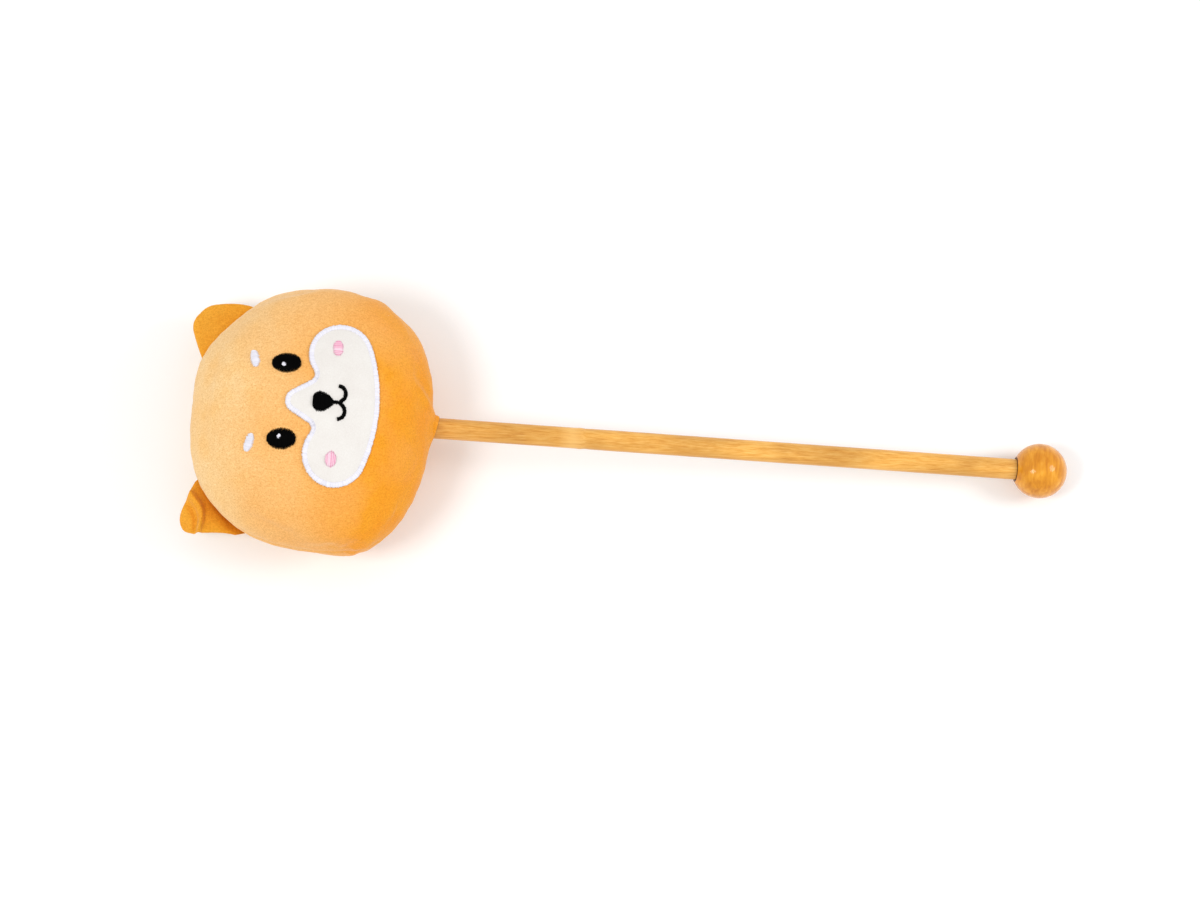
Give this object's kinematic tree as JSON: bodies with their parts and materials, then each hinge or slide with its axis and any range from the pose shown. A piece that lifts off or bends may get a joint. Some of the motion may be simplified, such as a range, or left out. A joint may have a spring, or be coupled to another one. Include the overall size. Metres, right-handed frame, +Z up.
{
  "type": "plush head stick puppet",
  "caption": "Stuffed plush dog head with embroidered face and soft folding ears on a long bamboo stick with a varnished wooden grip ball.",
  "frame": {"origin": "centre line of the head on the flat patch it rests on, under the head's widest line", "axes": "+X along the stick from the head to the grip ball, +Y to the dog's own left, +Z up out of the face while it lies on its back"},
  "size_m": [0.4015, 0.121, 0.0802],
  "materials": {
    "plush_face": "matte",
    "plush_back": "matte",
    "plush_ear": "matte",
    "cream_pile": "matte",
    "fill_fibre": "matte",
    "white_thread": "satin",
    "black_thread": "satin",
    "pink_thread": "satin",
    "tan_thread": "satin",
    "bamboo": "satin",
    "varnished_wood": "gloss",
    "plain_wood": "matte",
    "wood_glue": "gloss"
  },
  "bodies": {
    "head": {"head_front_panel": "plush_face", "head_back_panel": "plush_back", "head_seam_thread": "tan_thread", "stuffing": "fill_fibre", "muzzle_patch": "cream_pile", "muzzle_border": "white_thread", "nose": "black_thread", "mouth": "black_thread", "left_eye": "black_thread", "right_eye": "black_thread", "left_eye_glint": "white_thread", "right_eye_glint": "white_thread", "left_brow": "white_thread", "right_brow": "white_thread", "left_cheek": "pink_thread", "right_cheek": "pink_thread", "left_ear_base": "plush_ear", "right_ear_base": "plush_ear", "neck_collar": "plush_face", "neck_binding": "tan_thread", "stick": "bamboo", "grip_ball": "varnished_wood", "grip_ball_glue": "wood_glue", "anchor_ball": "plain_wood", "anchor_glue": "wood_glue"},
    "left_ear": {"left_ear_front": "plush_ear", "left_ear_back": "plush_back"},
    "right_ear": {"right_ear_front": "plush_ear", "right_ear_back": "plush_back"}
  },
  "joints": [
    {"name": "left_ear_flex", "type": "hinge", "parent": "head", "child": "left_ear", "pos_m": [-0.04886, 0.03845, 0.01924], "axis": [0.6541, 0.7547, -0.0509], "range_deg": [-45, 45], "stiffness_Nm_per_rad": 0.02},
    {"name": "right_ear_flex", "type": "hinge", "parent": "head", "child": "right_ear", "pos_m": [-0.04886, -0.03845, 0.01924], "axis": [-0.6541, 0.7547, 0.0509], "range_deg": [-45, 45], "stiffness_Nm_per_rad": 0.02}
  ]
}
